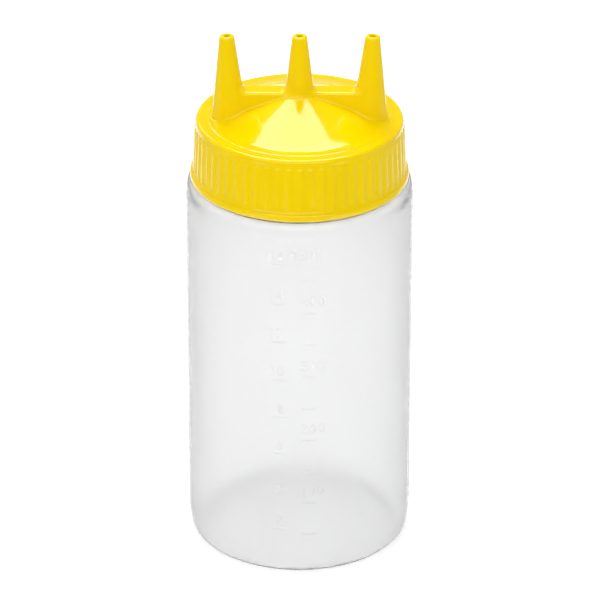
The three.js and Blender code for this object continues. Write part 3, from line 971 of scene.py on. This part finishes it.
def bottle_plastic(settings):
    """Natural polyethylene: milky, frosted, with faint upright draw lines from blowing"""
    material, shader, place = new_material("bottle_plastic")
    tree = material.node_tree
    colour = Vector(settings.colour)
    cloud = noise(tree, stretched(tree, place, (1.0, 1.0, 0.25)), 60.0, 4.0)
    tree.links.new(two_tones(tree, cloud, colour * 0.985, colour), shader.inputs["Base Color"])
    grain = noise(tree, place, 1500.0, 3.0, 0.6)
    rough = ranged(tree, grain, settings.roughness - 0.05, settings.roughness + 0.05)
    tree.links.new(rough, shader.inputs["Roughness"])
    bump(tree, shader, grain, 0.15, 0.02 * MM)
    shader.inputs["IOR"].default_value = 1.4
    shader.inputs["Transmission Weight"].default_value = settings.clearness
    shader.inputs["Subsurface Weight"].default_value = 1.0
    shader.inputs["Subsurface Radius"].default_value = (1.0, 1.0, 1.0)
    shader.inputs["Subsurface Scale"].default_value = settings.glow
    return material


def ring_foam(settings):
    """Closed-cell foam with fine pores"""
    material, shader, place = new_material("ring_foam")
    tree = material.node_tree
    colour = Vector(settings.colour)
    cells = tree.nodes.new("ShaderNodeTexVoronoi")
    cells.inputs["Scale"].default_value = 2600.0
    tree.links.new(place, cells.inputs["Vector"])
    tone = two_tones(tree, noise(tree, place, 700.0, 4.0), colour * 0.94, colour)
    tree.links.new(tone, shader.inputs["Base Color"])
    tree.links.new(ranged(tree, cells.outputs["Distance"], 0.7, 0.9), shader.inputs["Roughness"])
    bump(tree, shader, cells.outputs["Distance"], 0.4, 0.05 * MM)
    return material


def ground_paper(settings):
    """White paper: it shows white to the camera and through the bottle, and keeps the object's shadow"""
    material, shader, _ = new_material("ground_paper")
    tree = material.node_tree
    shader.inputs["Base Color"].default_value = (*settings.ground, 1.0)
    shader.inputs["Roughness"].default_value = 1.0
    shader.inputs["Specular IOR Level"].default_value = 0.0
    path = tree.nodes.new("ShaderNodeLightPath")
    seen = combined(tree, "MAXIMUM", path.outputs["Is Camera Ray"], path.outputs["Is Glossy Ray"])
    through = path.outputs["Is Transmission Ray"]
    glow = combined(tree, "MULTIPLY_ADD", seen, PAPER_GLOW, through)
    shader.inputs["Emission Color"].default_value = (1.0, 1.0, 1.0, 1.0)
    tree.links.new(glow, shader.inputs["Emission Strength"])
    share = combined(tree, "MULTIPLY", through, PAPER_WHITE_SHARE)
    white = tree.nodes.new("ShaderNodeEmission")
    white.inputs["Strength"].default_value = 1.0
    surface = mixed(tree, share, shader.outputs["BSDF"], white.outputs["Emission"])
    tree.links.new(surface, tree.nodes["Material Output"].inputs["Surface"])
    return material


# Studio

def build_floor(settings):
    """Strip of paper just under the bottle's foot, which ends a short way in front of it"""
    side, front, back, under = 0.26, -0.28, 6.0, -0.1 * MM
    corners = [(-side, front, under), (side, front, under), (side, back, under), (-side, back, under)]
    floor = mesh_object("studio_floor", corners, [(0, 1, 2, 3)])
    floor.data.materials.append(ground_paper(settings))


def build_world(settings):
    """Sky: white where it is seen, weaker overhead where it lights, and a dim room where it is mirrored"""
    world = bpy.data.worlds.new("studio_sky")
    world.use_nodes = True
    bpy.context.scene.world = world
    tree = world.node_tree
    place = tree.nodes.new("ShaderNodeTexCoord")
    parts = tree.nodes.new("ShaderNodeSeparateXYZ")
    tree.links.new(place.outputs["Generated"], parts.inputs["Vector"])
    light = tree.nodes["Background"]
    light.inputs["Color"].default_value = (1.0, 1.0, 1.0, 1.0)
    low_light = mapped(tree, parts.outputs["Z"], 0.0, 1.0, settings.sky, OVERHEAD_SHARE * settings.sky)
    tree.links.new(low_light, light.inputs["Strength"])
    # The mirrored room is dim overhead and towards the camera
    mirrored = tree.nodes.new("ShaderNodeBackground")
    fall = mapped(tree, parts.outputs["Z"], 0.15, 0.5, 0.55, 0.1, "SMOOTHSTEP")
    room = mapped(tree, parts.outputs["Y"], -0.5, 0.0, 0.1, 1.0)
    tree.links.new(combined(tree, "MULTIPLY", fall, room), mirrored.inputs["Strength"])
    white = tree.nodes.new("ShaderNodeBackground")
    white.inputs["Color"].default_value = (1.0, 1.0, 1.0, 1.0)
    white.inputs["Strength"].default_value = 1.0
    path = tree.nodes.new("ShaderNodeLightPath")
    direct = combined(tree, "MAXIMUM", path.outputs["Is Camera Ray"], path.outputs["Is Transmission Ray"])
    unseen = mixed(
        tree, path.outputs["Is Glossy Ray"], light.outputs["Background"], mirrored.outputs["Background"]
    )
    surface = mixed(tree, direct, unseen, white.outputs["Background"])
    tree.links.new(surface, tree.nodes["World Output"].inputs["Surface"])


def area_light(name, power, place, target, width, depth):
    """Rectangular light that faces a point."""
    data = bpy.data.lights.new(name, "AREA")
    data.shape = "RECTANGLE"
    data.size = width
    data.size_y = depth
    data.energy = power
    lamp = bpy.data.objects.new(name, data)
    lamp.location = place
    lamp.rotation_euler = (Vector(target) - Vector(place)).to_track_quat("-Z", "Y").to_euler()
    bpy.context.scene.collection.objects.link(lamp)


def away_from(place, distance, turned, raised):
    """Point at a distance from a place, by degrees to the left of the camera's side and degrees up."""
    turned, raised = math.radians(turned), math.radians(raised)
    flat = math.cos(raised)
    return place + distance * Vector((-math.sin(turned) * flat, -math.cos(turned) * flat, math.sin(raised)))


def build_lights(settings):
    """Softboxes: above and behind, straight above, wide behind the camera, and small at the left behind"""
    height = 0.9
    top = Vector((0.0, 0.0, RIM_Z))
    centre = top + Vector((-0.07 * height, 0.64 * height, height))
    below = centre - Vector((0.0, 0.0, 1.0))
    area_light("softbox", settings.softbox, centre, below, 0.66 * height, 0.72 * height)
    centre = top + Vector((0.0, 0.07 * height, height))
    area_light("top_box", settings.top_box, centre, top, 1.0 * height, 0.2 * height)
    front = away_from(top, 2.4, 10.0, 35.0)
    area_light("front_box", settings.front_box, front, top, 3.6, 1.5)
    side = away_from(top, 1.3, 158.0, 32.0)
    area_light("side_box", settings.side_box, side, top, 0.3, 0.3)


def build_camera():
    """Camera at the photograph's viewpoint"""
    data = bpy.data.cameras.new("viewpoint")
    data.sensor_width = SENSOR_WIDTH
    data.lens = FOCAL_PIXELS * SENSOR_WIDTH / PICTURE_WIDTH
    data.clip_start = 0.05
    data.clip_end = 50.0
    camera = bpy.data.objects.new("viewpoint", data)
    forward = Vector((0.0, math.cos(VIEW_TILT), -math.sin(VIEW_TILT)))
    turn = forward.to_track_quat("-Z", "Y").to_matrix() @ Matrix.Rotation(VIEW_ROLL, 3, "Z")
    camera.matrix_world = Matrix.Translation(VIEW_TARGET - VIEW_DISTANCE * forward) @ turn.to_4x4()
    bpy.context.scene.collection.objects.link(camera)
    bpy.context.scene.camera = camera
    bpy.context.scene.view_settings.view_transform = "Standard"


# Operators, one for each piece and one for the stage

class SQUEEZE_OT_bottle(bpy.types.Operator):
    """Build the translucent bottle with its raised scales"""

    bl_idname = "squeeze.bottle"
    bl_label = "Bottle"

    def execute(self, context):
        settings = context.scene.squeeze_bottle
        piece = build_bottle(settings)
        piece.data.materials.append(bottle_plastic(settings))
        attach(piece, "bottle_body")
        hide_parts("bottle")
        return {"FINISHED"}


class SQUEEZE_OT_sealing_ring(bpy.types.Operator):
    """Build the foam ring that seals the neck"""

    bl_idname = "squeeze.sealing_ring"
    bl_label = "Sealing ring"

    def execute(self, context):
        settings = context.scene.squeeze_ring
        piece = build_ring(settings)
        piece.data.materials.append(ring_foam(settings))
        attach(piece, "ring_body")
        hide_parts("sealing_ring")
        return {"FINISHED"}


class SQUEEZE_OT_cap(bpy.types.Operator):
    """Build the screw cap with its ducts and nozzles"""

    bl_idname = "squeeze.cap"
    bl_label = "Cap"

    def execute(self, context):
        settings = context.scene.squeeze_cap
        piece = build_cap(settings)
        piece.data.materials.append(cap_plastic(settings))
        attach(piece, "cap_body")
        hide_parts("cap")
        return {"FINISHED"}


class SQUEEZE_OT_stage(bpy.types.Operator):
    """Build the floor, sky, lights and camera"""

    bl_idname = "squeeze.stage"
    bl_label = "Stage"

    def execute(self, context):
        settings = context.scene.squeeze_stage
        build_floor(settings)
        build_world(settings)
        build_lights(settings)
        build_camera()
        return {"FINISHED"}


class SQUEEZE_PT_pieces(bpy.types.Panel):
    """Pieces of the squeeze bottle and their settings"""

    bl_idname = "SQUEEZE_PT_pieces"
    bl_label = "Squeeze Bottle"
    bl_space_type = "VIEW_3D"
    bl_region_type = "UI"
    bl_category = "Squeeze Bottle"

    def draw(self, context):
        for operator, settings in STEPS:
            box = self.layout.box()
            box.operator(operator)
            group = getattr(context.scene, settings)
            for name in group.bl_rna.properties.keys():
                if name not in ("rna_type", "name"):
                    box.prop(group, name)


STEPS = (
    ("squeeze.stage", "squeeze_stage"),
    ("squeeze.bottle", "squeeze_bottle"),
    ("squeeze.sealing_ring", "squeeze_ring"),
    ("squeeze.cap", "squeeze_cap"),
)

SETTINGS = {
    "squeeze_stage": StageSettings,
    "squeeze_bottle": BottleSettings,
    "squeeze_ring": RingSettings,
    "squeeze_cap": CapSettings,
}

CLASSES = (
    *SETTINGS.values(),
    SQUEEZE_OT_bottle,
    SQUEEZE_OT_sealing_ring,
    SQUEEZE_OT_cap,
    SQUEEZE_OT_stage,
    SQUEEZE_PT_pieces,
)


def register():
    for item in CLASSES:
        bpy.utils.register_class(item)
    for name, group in SETTINGS.items():
        setattr(bpy.types.Scene, name, PointerProperty(type=group))


def unregister():
    for name in SETTINGS:
        delattr(bpy.types.Scene, name)
    for item in reversed(CLASSES):
        bpy.utils.unregister_class(item)


def main():
    register()
    bpy.ops.squeeze.stage()
    bpy.ops.squeeze.bottle()
    bpy.ops.squeeze.sealing_ring()
    bpy.ops.squeeze.cap()


if __name__ == "__main__":
    main()
